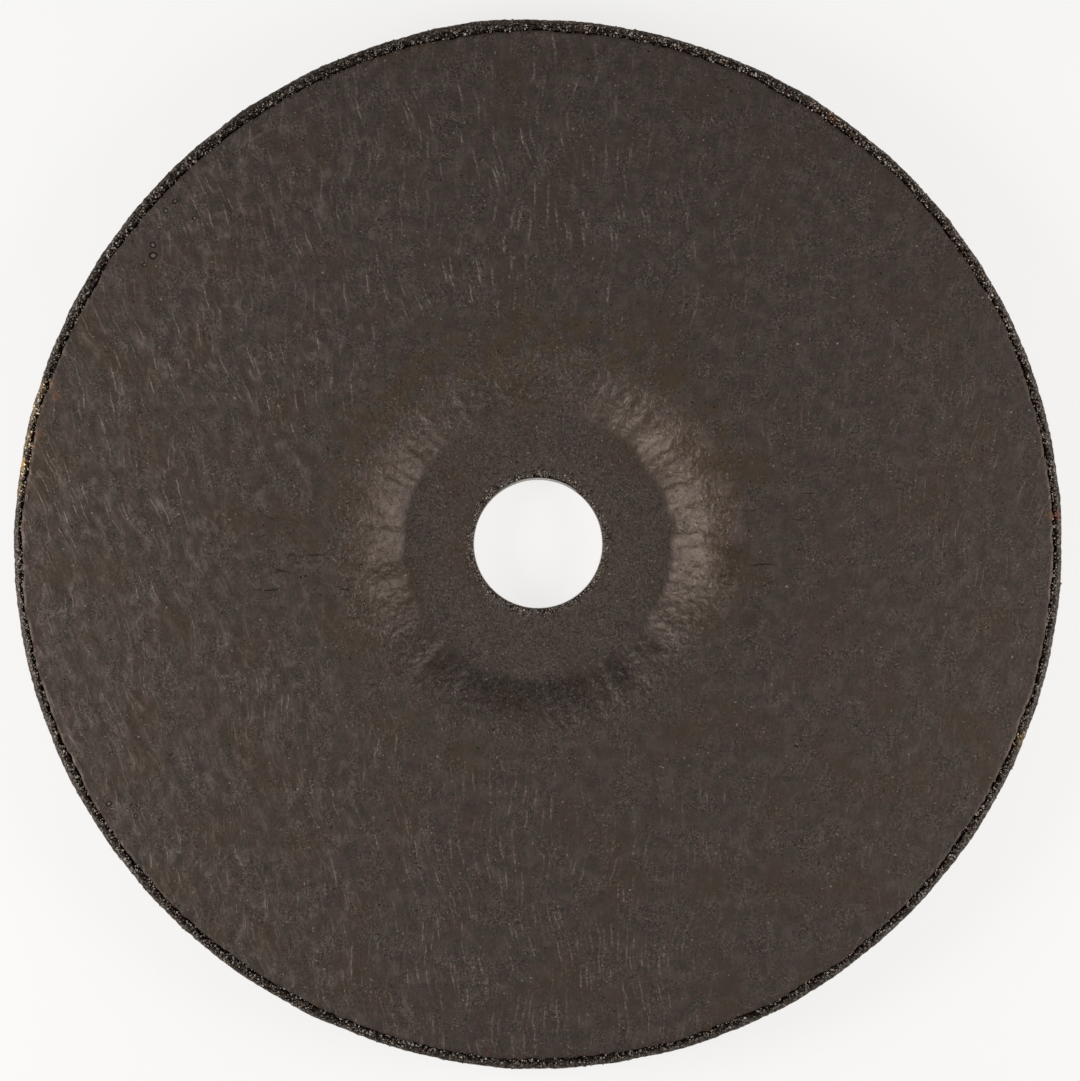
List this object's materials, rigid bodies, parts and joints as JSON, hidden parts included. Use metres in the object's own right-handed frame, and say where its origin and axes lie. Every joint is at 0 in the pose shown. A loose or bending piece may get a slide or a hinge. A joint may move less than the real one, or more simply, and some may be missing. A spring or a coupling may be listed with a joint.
{
  "type": "grinding disc",
  "caption": "Round grinding disc with a depressed centre: a pressed body of bonded grit, a black facing sheet on the working face and a flanged steel bush in the bore.",
  "frame": {"origin": "on the bore's axis, at the flat back face of the hub, on which the disc lies", "axes": "+Z along the bore's axis, from the hub's back towards the working face; X and Y in the disc's plane, where the solids are round"},
  "size_m": [0.18, 0.18, 0.0106],
  "materials": {
    "bonded_grit": "coarse dark grit in brown-black resin, with bright and dark grains",
    "facing_paper": "crinkled black-brown paper soaked with resin, with a dull sheen",
    "bush_steel": "pressed sheet steel, dull zinc coat"
  },
  "bodies": {
    "root": {"abrasive_body": "bonded_grit", "facing_sheet": "facing_paper", "centre_bush": "bush_steel"}
  },
  "joints": []
}
